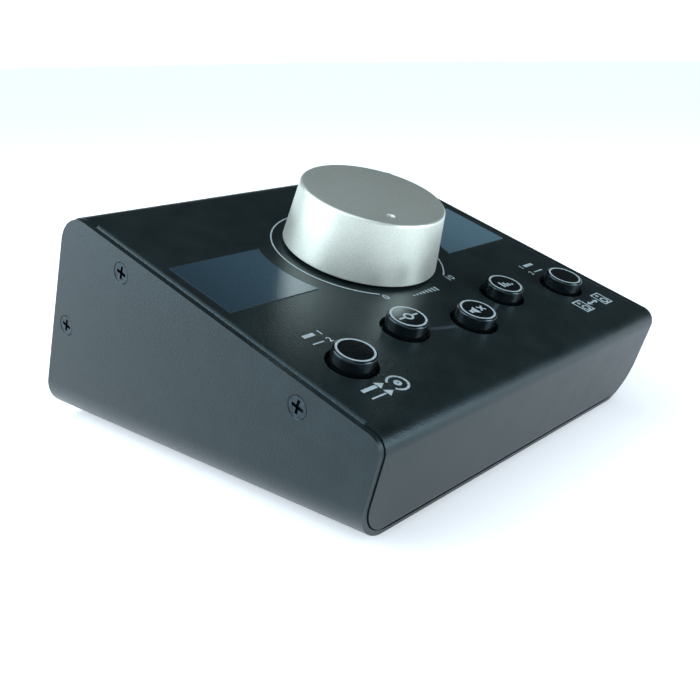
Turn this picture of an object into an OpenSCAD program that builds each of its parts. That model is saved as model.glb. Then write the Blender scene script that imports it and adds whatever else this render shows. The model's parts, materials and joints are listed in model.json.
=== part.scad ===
// Desktop monitor controller: a folded steel case in two pieces, with a large volume
// knob, five push buttons and a rear wall of eight jack sockets.
// Millimetres. +X is the user's right, +Y points away from the user, +Z is up.
// The origin is on the table, under the middle of the case.

/* [Case] */
// Width over the two side plates
body_w = 146; // [130:1:180]
// Length of the sloping control panel, from its front corner to its rear corner
panel_len = 135.2; // [130:0.1:166]
// Height of the front face, measured along the face
front_h = 33.7; // [31:0.1:42]
// Slope of the control panel above the table, in degrees
panel_deg = 18.1; // [16:0.1:21]
// Lean of the rear wall away from upright, in degrees
rear_deg = 20.4; // [17:0.1:23]
// Thickness of the folded steel sheet
sheet = 1.6; // [1.2:0.1:1.8]
// Outer bend radius between the bottom and each side plate
tray_bend_r = 13.4; // [8:0.1:15]
// Height of the rubber feet
foot_h = 2; // [1.5:0.5:4]

/* [Volume knob] */
// Diameter of the knob at its lower edge
knob_base_d = 51.8; // [43:0.1:62.2]
// Diameter of the knob at its upper edge
knob_top_d = 47.8; // [40:0.1:50]
// Height of the knob
knob_h = 20.1; // [17:0.1:24.2]
// Diameter of the potentiometer's shaft
shaft_d = 6; // [6:0.1:6.4]

/* [Buttons] */
// Diameter of a button cap
cap_d = 12.6; // [10.5:0.1:15.2]
// How far a cap stands out of the control panel
cap_rise = 4.15; // [3.4:0.05:5]
// How far a button travels
travel = 2.5; // [1.5:0.1:2.5]

/* [Jack sockets] */
// Bore of a jack socket, for a 6.35 mm plug
jack_bore_d = 6.5; // [6.4:0.01:6.6]
// Distance between neighbouring sockets in a row
jack_pitch_x = 26; // [22:0.1:28]
// Distance between the two rows of sockets
jack_pitch_y = 24; // [20:0.1:24]

/* [Output] */
// Sub-part to draw, or all

/* [Hidden] */
$fn = 64;
cut = 1;                             // how far a cutting tool runs past the face that it cuts

// case
half_w = body_w / 2;
inner_w = half_w - sheet;            // inner face of a side plate
seam = 0.3;                          // gap between the cover and each side plate
cover_w = inner_w - seam;            // side edge of the cover
proud = 0.35;                        // the cover stands this far out of the side plates' edges
floor_gap = 0.4;                     // gap between the cover's lower edge and the tray's floor
cover_bend_r = 1.6;                  // outer radius of the cover's side bends
front_bend_r = 4.8;                  // front corner radius of the side plates
rear_bend_r = 11.2;                  // rear corner radius of the side plates
lip_bend_r = 4.2;                    // outer radius of the bend into the tray's rear lip
lip_h = 7.5;                         // height of the tray's rear lip
ear_r = lip_bend_r - 1;               // corner radius of the cover's ears beside the rear lip
toe_r = 0.8;                         // corner radius at the side plates' lower front corner
flange_d = 13;                       // depth of the cover's side flanges
flange_front = 8;                    // where the side flange starts behind the front corner
relief = 13.6;                       // the side flanges stop this far from the rear corner
// the rear wall's flanges start above the tray's side bends
rear_flange_low = (tray_bend_r + flange_d * sin(rear_deg) + 1) / cos(rear_deg);
front_flange = 14;                   // depth of the cover's flange along the floor

// side profile, as [y, z] with z from the tray's underside
lean = [-sin(panel_deg), cos(panel_deg)];
along = [cos(panel_deg), sin(panel_deg)];
corner_a = [front_h * sin(panel_deg), 0];
corner_b = [0, front_h * cos(panel_deg)];
corner_c = corner_b + panel_len * along;
corner_d = [corner_c[0] + corner_c[1] * tan(rear_deg), 0];
rear_up = [-sin(rear_deg), cos(rear_deg)];
rear_out = [cos(rear_deg), sin(rear_deg)];
wall_len = corner_c[1] / cos(rear_deg);
profile = [corner_a, corner_b, corner_c, corner_d];
cover_floor = sheet + floor_gap;

// the case's front-most and rear-most points put the origin under its middle
front_y = (corner_b + front_bend_r * (along - lean))[0] - front_bend_r - proud;
rear_y = corner_d[0] - (cover_floor + ear_r) * tan(rear_deg) + (proud - ear_r) / cos(rear_deg) + ear_r;
origin_y = -(front_y + rear_y) / 2;

// control panel: x, distance up the slope, height above the side plates' edges
panel_top = proud;
panel_under = proud - sheet;
knob_s = 0.562 * panel_len;
button_names = ["source", "mono", "mute", "dim", "monitor"];
button_at = [
    [-0.3692 * body_w, 28.4],
    [-0.1726 * body_w, 34.1],
    [0, 27.2],
    [0.1726 * body_w, 34.1],
    [0.3692 * body_w, 28.4]
];
button_gap = 1.3;                    // gap between a cap and its hole in the panel
inlay_r = 35.3;                      // radius of an inlay's inner edge, about the knob
inlay_edge = 6;                      // an inlay stops this far inside the side plate
inlay_front = 13.4;                  // an inlay starts this far in front of the knob's axis
inlay_len = 27.5;
inlay_t = 0.2;

// knob
knob_gap = 0.95;                     // gap between the panel and the knob's lower edge
knob_low = panel_top + knob_gap;
knob_high = knob_low + knob_h;
knob_rim_r = 1.1;                    // rounded rim, drawn as six short cones
knob_wall = 1.9;
knob_roof = 2.4;
dimple_r = 17.4;                     // the pointer dimple's distance from the knob's axis
pointer_deg = 30;                    // the pointer's angle left of straight to the front, at minimum
shaft_r = shaft_d / 2;
shaft_flat = 0.5;                    // depth of the flat on the shaft
shaft_gap = 0.05;                    // running clearance round the shaft
bush_r = 4.5;
bush_top = 4.4;
hub_low = 5;
hub_r = 6.5;
clip_t = 0.6;

// control board
board_drop = 11;                     // from the panel's underside to the board
board_t = 1.6;
board_top = panel_under - board_drop;
board_under = board_top - board_t;
board_x = half_w - 11;
board_front = 17;
board_rear = knob_s + 22;
stud_x = 40;
stud_front = 22;
stud_rear = knob_s + 16;
pot_w = 17;
pot_l = 19;
pot_plate = 1.2;
switch_w = 8.5;
switch_h = 6;
plunger_r = 1.8;
pin_r = 0.4;
pin_out = 1.2;                       // how far a pin stands out of the far side of its board

// rear wall, with v up the wall from the tray's underside and d out of the wall
jack_low = 28;
jack_x = [half_w - 19 - jack_pitch_x, half_w - 19];
jack_v = [jack_low, jack_low + jack_pitch_y];
jack_w = 15.5;
jack_deep = 27;
nose_r = 5.5;
nose_out = 3.2;
nose_lead = 0.4;
jack_back = panel_under - jack_deep;
jack_board_v = [jack_low - 11, jack_low + jack_pitch_y + 10];
rear_screw_v = 40.3;
rear_screw_in = 7.2;
side_screw_in = 6.9;
side_screw_s = [27.7, panel_len - 31.2];

// screws
screw_r = 1.5;
head_r = 3.15;
head_h = 1.65;
sink_r = 3.5;
slot_w = 1;
slot_len = 4.2;
slot_low = 2.7;                      // length of the recess at its bottom

// ribbon
ribbon_w = 18;
ribbon_t = 0.9;
ribbon_bend = 5;
header_h = 4;
plug_h = 5;
header_s = board_rear - 9.5;
header_v = jack_low + jack_pitch_y / 2;

// -------------------------------------------------------------- flat shapes
function unit(v) = v / norm(v);
function total(v, i = 0) = i < len(v) ? v[i] + total(v, i + 1) : 0;
function after(p, i) = p[(i + 1) % len(p)];
function before(p, i) = p[(i + len(p) - 1) % len(p)];
function turning(p) = sign(total([for (i = [0 : len(p) - 1]) cross(p[i], after(p, i))]));
function corner_turn(p, i) = sign(cross(p[i] - before(p, i), after(p, i) - p[i]));
function open_angle(p, i) = acos(unit(before(p, i) - p[i]) * unit(after(p, i) - p[i]));
function tangent_len(p, r, i) = r[i] / tan(open_angle(p, i) / 2);
function arc_centre(p, r, i) =
    p[i] + unit(unit(before(p, i) - p[i]) + unit(after(p, i) - p[i])) * r[i] / sin(open_angle(p, i) / 2);

// polygon p with a true arc of radius r[i] at each corner
module rounded(p, r) {
    chords = [
        for (i = [0 : len(p) - 1], side = [before(p, i), after(p, i)])
            p[i] + unit(side - p[i]) * tangent_len(p, r, i)
    ];
    sharp_or_cut = [
        for (i = [0 : len(chords) - 1])
            if (i % 2 == 0 || norm(chords[i] - chords[i - 1]) > 0.001) chords[i]
    ];
    difference() {
        union() {
            polygon(sharp_or_cut);
            for (i = [0 : len(p) - 1])
                if (r[i] > 0 && corner_turn(p, i) == turning(p))
                    translate(arc_centre(p, r, i)) circle(r[i]);
        }
        for (i = [0 : len(p) - 1])
            if (r[i] > 0 && corner_turn(p, i) != turning(p))
                translate(arc_centre(p, r, i)) circle(r[i]);
    }
}

// outward normal of the edge that leaves corner i of a clockwise outline
function edge_out(p, i) = let (e = unit(after(p, i) - p[i])) [-e[1], e[0]];

// a clockwise outline with edge i moved out by d[i]
function moved(p, d) = [
    for (i = [0 : len(p) - 1])
        let (
            j = (i + len(p) - 1) % len(p),
            n1 = edge_out(p, j),
            n2 = edge_out(p, i),
            c = n1 * n2,
            a = (d[j] - c * d[i]) / (1 - c * c),
            b = (d[i] - c * d[j]) / (1 - c * c)
        ) p[i] + a * n1 + b * n2
];

// -------------------------------------------------------------- places
module on_case() {
    translate([0, origin_y, foot_h]) children();
}

// x across, y up the slope, z out of the control panel
module on_panel() {
    on_case() translate([0, corner_b[0], corner_b[1]]) rotate([panel_deg, 0, 0]) children();
}

// x to the left, y up the rear wall, z out of the rear wall
module on_rear() {
    on_case() translate([0, corner_d[0], 0]) rotate([90 - rear_deg, 0, 180]) children();
}

module at_knob() {
    on_panel() translate([0, knob_s, 0]) children();
}

module at_button(i) {
    on_panel() translate([button_at[i][0], button_at[i][1], 0]) children();
}

module at_buttons() {
    for (i = [0 : len(button_at) - 1]) at_button(i) children();
}

module at_jacks() {
    on_rear()
        for (side = [-1, 1], x = jack_x, v = jack_v)
            translate([side * x, v, 0]) children();
}

module at_studs() {
    on_panel()
        for (x = [-stud_x, stud_x], s = [stud_front, stud_rear])
            translate([x, s, 0]) children();
}

// side screws point into the case from both side plates
screw_points = [
    for (s = side_screw_s) corner_b + s * along - side_screw_in * lean_out(),
    corner_d + rear_screw_v * rear_up - rear_screw_in * rear_out
];
function lean_out() = [-sin(panel_deg), cos(panel_deg)];

module at_side_screws() {
    on_case()
        for (side = [0, 1], p = screw_points)
            mirror([side, 0, 0]) translate([half_w, p[0], p[1]]) rotate([0, 90, 0]) children();
}

// shape drawn in [y, z], made solid across the case between -w and w
module across(w) {
    translate([-w, 0, 0]) rotate([90, 0, 90]) linear_extrude(2 * w) children();
}

// shape drawn in [x, z], made solid from y0 to y1
module lengthwise(y0, y1) {
    translate([0, y1, 0]) rotate([90, 0, 0]) linear_extrude(y1 - y0) children();
}

// -------------------------------------------------------------- case
tall = corner_c[1] + 20;

// outline in [x, z] of a channel with rounded lower corners
module channel(w, low, r) {
    rounded([[-w, low], [w, low], [w, tall], [-w, tall]], [r, r, 0, 0]);
}

module bottom_tray() {
    color([0.13, 0.15, 0.16])
    difference() {
        on_case() {
            intersection() {
                across(half_w) rounded(profile, [toe_r, front_bend_r, rear_bend_r, lip_bend_r]);
                lengthwise(-cut, corner_d[0] + cut) difference() {
                    channel(half_w, 0, tray_bend_r);
                    channel(inner_w, sheet, tray_bend_r - sheet);
                }
            }
            rear_lip();
        }
        at_side_screws() {
            translate([0, 0, -sheet - cut]) cylinder(h = sheet + 2 * cut, r = screw_r + 0.2);
            translate([0, 0, -sheet]) cylinder(h = sheet, r1 = screw_r + 0.2, r2 = sink_r);
        }
    }
}

// the floor turns up at the rear and closes the case below the cover's rear wall
module rear_lip() {
    inside = moved(profile, [-sheet, -sheet, -sheet, -sheet]);
    lip_w = half_w - tray_bend_r;
    stop = corner_d + lip_h * rear_up;
    across(lip_w) intersection() {
        difference() {
            rounded(profile, [toe_r, front_bend_r, rear_bend_r, lip_bend_r]);
            rounded(inside, [0, front_bend_r - sheet, rear_bend_r - sheet, lip_bend_r - sheet]);
        }
        polygon([
            corner_d - [20, 0],
            corner_d + [10, 0],
            stop + 10 * rear_out,
            stop - 10 * rear_out,
            corner_d - [20, -sheet]
        ]);
    }
}

module top_cover() {
    color([0.11, 0.12, 0.13])
    difference() {
        union() {
            difference() {
                cover_sheet();
                on_panel() edge_strips(flange_front, panel_len - relief);
                on_rear() edge_strips(rear_flange_low, wall_len - relief);
            }
            on_panel() side_flanges(flange_front, panel_len - relief);
            on_rear() side_flanges(rear_flange_low, wall_len - relief);
        }
        at_knob() cylinder(h = 6, r = bush_r + 0.1, center = true);
        at_buttons() cylinder(h = 6, r = cap_d / 2 + button_gap, center = true);
        at_jacks() cylinder(h = 6, r = nose_r + 0.2, center = true);
        at_side_screws() translate([0, 0, -8]) cylinder(h = 8, r = screw_r + 0.1);
    }
}

// front face, control panel and rear wall in one sheet, with a flange along the floor at the front
module cover_sheet() {
    out = moved(profile, [proud, proud, proud, -cover_floor]);
    in = moved(out, [-sheet, -sheet, -sheet, -sheet]);
    front_end = out[0][0] + front_flange;
    on_case()
    difference() {
        intersection() {
            across(cover_w) difference() {
                rounded(out, [cover_bend_r, front_bend_r + proud, rear_bend_r + proud, ear_r]);
                rounded(in, [0, front_bend_r + proud - sheet, rear_bend_r + proud - sheet, 0]);
                translate([front_end, 0]) square([in[3][0] - front_end, in[3][1] + 0.01]);
            }
            lengthwise(-cut, corner_d[0] + cut)
                channel(cover_w, cover_floor, tray_bend_r - sheet - floor_gap);
        }
        // the rear wall is cut away over the tray's rear lip
        translate([0, corner_d[0], 0]) rotate([90 - rear_deg, 0, 180])
            translate([tray_bend_r - half_w - 0.4, -cut, -3 * sheet])
                cube([2 * (half_w - tray_bend_r + 0.4), lip_h + 0.4 + cut, 6 * sheet]);
        // the floor flange stops short of the tray's side bends
        for (side = [0, 1]) mirror([side, 0, 0])
            translate([half_w - tray_bend_r, out[0][0] + 2 * sheet, 0])
                cube([tray_bend_r, front_flange, cover_floor + sheet + 0.01]);
    }
}

module edge_strips(y0, y1) {
    for (side = [0, 1]) mirror([side, 0, 0])
        translate([cover_w - cover_bend_r, y0, proud - sheet - cut])
            cube([cover_bend_r + cut, y1 - y0, sheet + 2 * cut]);
}

module side_flanges(y0, y1) {
    for (side = [0, 1]) mirror([side, 0, 0]) lengthwise(y0, y1) {
        translate([cover_w - sheet, -flange_d]) square([sheet, flange_d + proud - cover_bend_r]);
        translate([cover_w - cover_bend_r, proud - cover_bend_r]) intersection() {
            circle(cover_bend_r);
            square(cover_bend_r);
        }
    }
}

module left_inlay() {
    color([0.38, 0.45, 0.49]) inlay(1);
}

module right_inlay() {
    color([0.38, 0.45, 0.49]) inlay(0);
}

module inlay(side) {
    at_knob() translate([0, 0, panel_top]) mirror([side, 0, 0]) linear_extrude(inlay_t)
        difference() {
            translate([0, -inlay_front]) square([half_w - inlay_edge, inlay_len]);
            circle(inlay_r);
        }
}

module side_screws() {
    color([0.08, 0.08, 0.09])
    at_side_screws() translate([0, 0, -0.15]) difference() {
        union() {
            translate([0, 0, -head_h]) cylinder(h = head_h, r1 = screw_r, r2 = head_r);
            translate([0, 0, -6]) cylinder(h = 6, r = screw_r);
        }
        for (turn = [0, 90]) rotate([0, 0, turn + 20]) {
            translate([-slot_len / 2, -slot_w / 2, -0.7]) cube([slot_len, slot_w, 2]);
            translate([-slot_low / 2, -slot_w / 2, -1.2]) cube([slot_low, slot_w, 2]);
        }
    }
}

module clinch_nuts() {
    nut_h = 2.2;
    color([0.75, 0.75, 0.72])
    at_side_screws() translate([0, 0, -2 * sheet - seam - nut_h]) difference() {
        cylinder(h = nut_h, r = 3);
        translate([0, 0, -cut]) cylinder(h = nut_h + 2 * cut, r = screw_r + 0.02);
    }
}

module rubber_feet() {
    foot_r = 5.5;
    edge = 0.5;
    color([0.06, 0.06, 0.06])
    on_case()
    for (x = [-1, 1] * (half_w - 25), y = [corner_a[0] + 22, corner_d[0] - 24])
        translate([x, y, -foot_h]) {
            cylinder(h = edge, r1 = foot_r - edge, r2 = foot_r);
            translate([0, 0, edge]) cylinder(h = foot_h - edge, r = foot_r);
        }
}

// -------------------------------------------------------------- volume knob
module knob_cap() {
    base_r = knob_base_d / 2;
    top_r = knob_top_d / 2;
    roof = knob_high - knob_roof;
    lower_edge = 0.3;
    color([0.72, 0.75, 0.75])
    at_knob() difference() {
        rotate_extrude() polygon([
            [0, knob_high],
            [0, roof],
            [top_r - knob_wall, roof],
            [base_r - knob_wall, knob_low],
            [base_r - lower_edge, knob_low],
            [base_r, knob_low + lower_edge],
            for (turn = [0 : 15 : 90])
                [top_r, knob_high] - knob_rim_r * [1 - cos(turn), 1 - sin(turn)]
        ]);
        rotate([0, 0, -pointer_deg]) translate([0, -dimple_r, knob_high + 1.3]) sphere(r = 2);
    }
}

module knob_hub() {
    disc_r = knob_top_d / 2 - knob_wall - 0.6;
    disc_h = 2;
    roof = knob_high - knob_roof;
    rib_t = 1.2;
    color([0.1, 0.1, 0.1])
    at_knob() difference() {
        union() {
            translate([0, 0, roof - disc_h]) cylinder(h = disc_h, r = disc_r);
            translate([0, 0, hub_low]) cylinder(h = roof - hub_low - 0.5, r = hub_r);
            for (turn = [0 : 60 : 300]) rotate([0, 0, turn])
                translate([hub_r - 0.5, -rib_t / 2, roof - 5]) cube([disc_r - hub_r, rib_t, 4]);
        }
        shaft_solid(shaft_r + 0.02, hub_low - cut, roof - 1.5);
    }
}

// the spring clip that closes the hub's split boss on the shaft
module knob_clip() {
    color([0.6, 0.6, 0.6])
    at_knob() translate([0, 0, hub_low + 1]) difference() {
        cylinder(h = 3, r = hub_r + clip_t);
        translate([0, 0, -cut]) cylinder(h = 3 + 2 * cut, r = hub_r + 0.03);
        translate([0, -1.2, -cut]) cube([hub_r + 2, 2.4, 3 + 2 * cut]);
    }
}

// shaft with a flat on its upper part
module shaft_solid(r, low, high) {
    difference() {
        translate([0, 0, low]) cylinder(h = high - low, r = r);
        translate([r - shaft_flat, -2 * r, hub_low - 0.5]) cube([2 * r, 4 * r, high]);
    }
}

module pot_shaft() {
    color([0.7, 0.7, 0.68]) at_knob() shaft_solid(shaft_r, panel_under - 8, knob_high - knob_roof - 2);
}

module pot_body() {
    color([0.12, 0.1, 0.08])
    at_knob() difference() {
        translate([-pot_w / 2, -pot_l / 2, board_top])
            cube([pot_w, pot_l, board_drop - pot_plate]);
        translate([0, 0, panel_under - 8.2]) cylinder(h = 12, r = shaft_r + shaft_gap);
    }
}

module pot_bushing() {
    color([0.78, 0.68, 0.4])
    at_knob() difference() {
        union() {
            translate([-pot_w / 2, -pot_w / 2, panel_under - pot_plate])
                cube([pot_w, pot_w, pot_plate]);
            translate([0, 0, panel_under - 0.5]) cylinder(h = bush_top - panel_under + 0.5, r = bush_r);
        }
        cylinder(h = 20, r = shaft_r + shaft_gap, center = true);
    }
}

module pot_washer() {
    color([0.75, 0.75, 0.75])
    at_knob() translate([0, 0, panel_top]) difference() {
        cylinder(h = 0.5, r = 7.2);
        cylinder(h = 3, r = bush_r + 0.05, center = true);
    }
}

module pot_nut() {
    across_flats = 12;
    color([0.8, 0.8, 0.78])
    at_knob() translate([0, 0, panel_top + 0.5]) difference() {
        cylinder(h = 2.2, r = across_flats / sqrt(3), $fn = 6);
        cylinder(h = 9, r = bush_r + 0.02, center = true);
    }
}

module at_pot_pins() {
    at_knob() for (x = [-6 : 2.4 : 6], y = [-7.5, 7.5]) translate([x, y, 0]) children();
}

module pot_pins() {
    color([0.8, 0.75, 0.6])
    at_pot_pins() translate([0, 0, board_under - pin_out]) cylinder(h = board_t + pin_out, r = pin_r);
}

// -------------------------------------------------------------- buttons
module button_cap(i) {
    r = cap_d / 2;
    top = panel_top + cap_rise;
    low = panel_under - 1.35;
    crown = 2;                      // thickness of the cap's top
    edge_r = 0.65;
    wall = 1.3;
    boss_r = 3.2;
    grip_r = r + 1.6;               // the foot that keeps the cap behind the panel
    color([0.05, 0.05, 0.055])
    at_button(i) difference() {
        rotate_extrude() {
            rounded([[0, low], [r, low], [r, top], [0, top]], [0, 0, edge_r, 0]);
            translate([0, low]) square([grip_r, 1]);
        }
        translate([0, 0, low - cut]) difference() {
            cylinder(h = top - crown - low + cut, r = r - wall);
            cylinder(h = top - crown - low + cut, r = boss_r);
        }
        translate([0, 0, low - cut]) cylinder(h = cut + 3.4, r = plunger_r);
    }
}

module source_cap() { button_cap(0); }
module mono_cap() { button_cap(1); }
module mute_cap() { button_cap(2); }
module dim_cap() { button_cap(3); }
module monitor_cap() { button_cap(4); }

module plunger(i) {
    low = board_top + 0.4 + travel;
    color([0.85, 0.85, 0.82])
    at_button(i) translate([0, 0, low]) cylinder(h = panel_under + 2.05 - low, r = plunger_r);
}

module source_plunger() { plunger(0); }
module mono_plunger() { plunger(1); }
module mute_plunger() { plunger(2); }
module dim_plunger() { plunger(3); }
module monitor_plunger() { plunger(4); }

module switch_bodies() {
    color([0.2, 0.2, 0.22])
    at_buttons() difference() {
        translate([-switch_w / 2, -switch_w / 2, board_top]) cube([switch_w, switch_w, switch_h]);
        translate([0, 0, board_top + 0.3]) cylinder(h = switch_h, r = plunger_r + 0.05);
    }
}

module at_switch_pins() {
    at_buttons() for (x = [-2.5, 0, 2.5], y = [-2.5, 2.5]) translate([x, y, 0]) children();
}

module switch_pins() {
    color([0.8, 0.75, 0.6])
    at_switch_pins() translate([0, 0, board_under - pin_out])
        cylinder(h = board_t + pin_out, r = pin_r);
}

// -------------------------------------------------------------- control board
module control_board() {
    color([0.05, 0.25, 0.16])
    difference() {
        on_panel() translate([-board_x, board_front, board_under])
            cube([2 * board_x, board_rear - board_front, board_t]);
        at_studs() translate([0, 0, board_under - cut]) cylinder(h = board_t + 2 * cut, r = screw_r + 0.1);
        at_pot_pins() translate([0, 0, board_under - cut]) cylinder(h = board_t + 2 * cut, r = pin_r + 0.05);
        at_switch_pins() translate([0, 0, board_under - cut])
            cylinder(h = board_t + 2 * cut, r = pin_r + 0.05);
    }
}

module board_standoffs() {
    color([0.75, 0.75, 0.72])
    at_studs() translate([0, 0, board_top]) difference() {
        cylinder(h = board_drop, r = 5 / sqrt(3), $fn = 6);
        translate([0, 0, -cut]) cylinder(h = 7 + cut, r = screw_r + 0.02);
    }
}

module board_screws() {
    head = 1.8;
    color([0.7, 0.7, 0.68])
    at_studs() difference() {
        union() {
            translate([0, 0, board_under - head]) cylinder(h = head, r = 2.8);
            translate([0, 0, board_under - head]) cylinder(h = head + board_t + 5, r = screw_r);
        }
        for (turn = [0, 90]) rotate([0, 0, turn])
            translate([-1.5, -slot_w / 2, board_under - head - cut]) cube([3, slot_w, cut + 1]);
    }
}

// the loads that lower the level when dim is pressed
module dim_resistors() {
    length = 6;
    color([0.55, 0.45, 0.3])
    on_panel() for (i = [0 : 3])
        translate([25 + 4 * i, board_front + 45, board_under - 1.25])
            rotate([-90, 0, 0]) cylinder(h = length, r = 1.25);
}

// -------------------------------------------------------------- rear sockets
module trs_jacks() {
    bore_r = jack_bore_d / 2;
    color([0.09, 0.09, 0.1])
    at_jacks() difference() {
        union() {
            translate([-jack_w / 2, -jack_w / 2, jack_back]) cube([jack_w, jack_w, jack_deep]);
            translate([0, 0, panel_under - 0.5]) cylinder(h = nose_out - panel_under + 0.5, r = nose_r);
        }
        translate([0, 0, jack_back + 1.2]) cylinder(h = nose_out - jack_back, r = bore_r);
        translate([0, 0, nose_out - nose_lead])
            cylinder(h = 2 * nose_lead, r1 = bore_r, r2 = bore_r + 2 * nose_lead);
    }
}

module jack_washers() {
    color([0.75, 0.75, 0.75])
    at_jacks() translate([0, 0, proud]) difference() {
        cylinder(h = 0.5, r = 7.6);
        cylinder(h = 3, r = nose_r + 0.05, center = true);
    }
}

module jack_nuts() {
    across_flats = 13.6;
    color([0.8, 0.8, 0.8])
    at_jacks() translate([0, 0, proud + 0.5]) difference() {
        rotate([0, 0, 15]) cylinder(h = 1.8, r = across_flats / sqrt(3), $fn = 6);
        cylinder(h = 9, r = nose_r + 0.02, center = true);
    }
}

module at_jack_pins() {
    at_jacks() for (p = [[-5, -4], [5, -4], [0, 5]]) translate([p[0], p[1], 0]) children();
}

module jack_pins() {
    color([0.8, 0.75, 0.6])
    at_jack_pins() translate([0, 0, jack_back - board_t - pin_out])
        cylinder(h = board_t + pin_out, r = 0.6);
}

module jack_board() {
    color([0.05, 0.25, 0.16])
    difference() {
        on_rear() translate([-board_x, jack_board_v[0], jack_back - board_t])
            cube([2 * board_x, jack_board_v[1] - jack_board_v[0], board_t]);
        at_jack_pins() translate([0, 0, jack_back - board_t - cut])
            cylinder(h = board_t + 2 * cut, r = 0.65);
    }
}

// -------------------------------------------------------------- ribbon between the boards
module ribbon_headers() {
    color([0.12, 0.12, 0.14]) {
        on_panel() translate([-10.5, header_s - 3.5, board_under - header_h]) cube([21, 7, header_h]);
        on_rear() translate([-10.5, header_v - 3.5, jack_back - board_t - header_h])
            cube([21, 7, header_h]);
    }
}

module ribbon_plugs() {
    color([0.2, 0.2, 0.22]) {
        on_panel() translate([-9.5, header_s - 2.5, board_under - header_h - plug_h])
            cube([19, 5, plug_h]);
        on_rear() translate([-9.5, header_v - 2.5, jack_back - board_t - header_h - plug_h])
            cube([19, 5, plug_h]);
    }
}

ribbon_a = corner_b + header_s * along + (board_under - header_h - plug_h) * lean;
ribbon_b = corner_d + header_v * rear_up + (jack_back - board_t - header_h - plug_h) * rear_out;
// where the two plugs' centre lines cross
ribbon_reach = cross(ribbon_b - ribbon_a, rear_out) / cross(-lean, rear_out);
ribbon_corner = ribbon_a - ribbon_reach * lean;

ribbon_down = unit(ribbon_corner - ribbon_a);
ribbon_back = unit(ribbon_b - ribbon_corner);
ribbon_turn = acos(ribbon_down * ribbon_back);
ribbon_mid_r = ribbon_bend + ribbon_t / 2;
ribbon_reach_in = ribbon_mid_r * tan(ribbon_turn / 2);
ribbon_bend_from = ribbon_corner - ribbon_reach_in * ribbon_down;
ribbon_bend_to = ribbon_corner + ribbon_reach_in * ribbon_back;
ribbon_centre = ribbon_bend_from + ribbon_mid_r * [-ribbon_down[1], ribbon_down[0]];

// one long edge of the ribbon, r from the bend's centre and side away from its middle line
function ribbon_edge(r, side) =
    let (
        start = ribbon_bend_from - ribbon_centre,
        start_deg = atan2(start[1], start[0]),
        steps = 12
    )
    concat(
        [ribbon_a + side * unit(start)],
        [
            for (i = [0 : steps])
                let (deg = start_deg + ribbon_turn * i / steps)
                    ribbon_centre + r * [cos(deg), sin(deg)]
        ],
        [ribbon_b + side * unit(ribbon_bend_to - ribbon_centre)]
    );

module ribbon_cable() {
    outer = ribbon_edge(ribbon_bend + ribbon_t, ribbon_t / 2);
    inner = ribbon_edge(ribbon_bend, -ribbon_t / 2);
    color([0.45, 0.46, 0.48])
    on_case() across(ribbon_w / 2)
        polygon(concat(outer, [for (i = [len(inner) - 1 : -1 : 0]) inner[i]]));
}

// -------------------------------------------------------------- output
bottom_tray();
top_cover();
left_inlay();
right_inlay();
side_screws();
clinch_nuts();
rubber_feet();
knob_cap();
knob_hub();
knob_clip();
pot_shaft();
pot_body();
pot_bushing();
pot_washer();
pot_nut();
pot_pins();
source_cap();
mono_cap();
mute_cap();
dim_cap();
monitor_cap();
source_plunger();
mono_plunger();
mute_plunger();
dim_plunger();
monitor_plunger();
switch_bodies();
switch_pins();
control_board();
board_standoffs();
board_screws();
dim_resistors();
trs_jacks();
jack_nuts();
jack_washers();
jack_pins();
jack_board();
ribbon_headers();
ribbon_plugs();
ribbon_cable();
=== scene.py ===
"""Looks of a desktop monitor controller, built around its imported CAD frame.

The CAD nodes keep their meshes and get their real finishes here. The screen
printing on the panel, the caps and the rear is modelled as thin raised ink.
All lengths are in metres unless a name ends in _mm.
"""

import json
import logging
import math
from contextlib import contextmanager
from dataclasses import dataclass, field
from enum import Enum
from typing import Any, Callable, Iterator, Sequence

import bmesh
import bpy
from mathutils import Matrix, Vector

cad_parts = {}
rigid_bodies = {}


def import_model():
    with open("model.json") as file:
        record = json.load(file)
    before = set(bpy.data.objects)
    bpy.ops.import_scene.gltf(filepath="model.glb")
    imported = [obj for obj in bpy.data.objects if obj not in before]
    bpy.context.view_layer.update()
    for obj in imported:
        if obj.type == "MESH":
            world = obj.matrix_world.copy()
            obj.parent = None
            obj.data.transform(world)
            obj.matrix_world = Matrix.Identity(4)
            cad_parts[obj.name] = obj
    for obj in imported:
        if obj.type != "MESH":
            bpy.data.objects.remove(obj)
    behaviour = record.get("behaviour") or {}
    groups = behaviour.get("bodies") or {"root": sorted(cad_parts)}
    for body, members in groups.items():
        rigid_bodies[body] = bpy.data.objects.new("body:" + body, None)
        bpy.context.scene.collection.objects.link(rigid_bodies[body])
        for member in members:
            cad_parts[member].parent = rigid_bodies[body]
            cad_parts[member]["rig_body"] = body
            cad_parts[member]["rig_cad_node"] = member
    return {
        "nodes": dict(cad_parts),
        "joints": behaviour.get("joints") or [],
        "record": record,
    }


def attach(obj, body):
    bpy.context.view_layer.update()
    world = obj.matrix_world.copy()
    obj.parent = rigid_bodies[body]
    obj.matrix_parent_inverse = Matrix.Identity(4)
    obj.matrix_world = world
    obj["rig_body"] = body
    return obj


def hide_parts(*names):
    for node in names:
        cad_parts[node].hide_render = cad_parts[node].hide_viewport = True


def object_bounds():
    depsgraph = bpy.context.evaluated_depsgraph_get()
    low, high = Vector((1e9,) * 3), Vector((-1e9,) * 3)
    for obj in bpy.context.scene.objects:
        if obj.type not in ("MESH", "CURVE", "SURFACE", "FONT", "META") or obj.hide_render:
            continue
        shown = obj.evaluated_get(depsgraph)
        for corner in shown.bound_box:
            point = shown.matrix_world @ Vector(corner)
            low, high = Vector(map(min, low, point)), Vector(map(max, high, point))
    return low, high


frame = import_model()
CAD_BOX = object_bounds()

log = logging.getLogger("monitor_controller")

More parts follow.
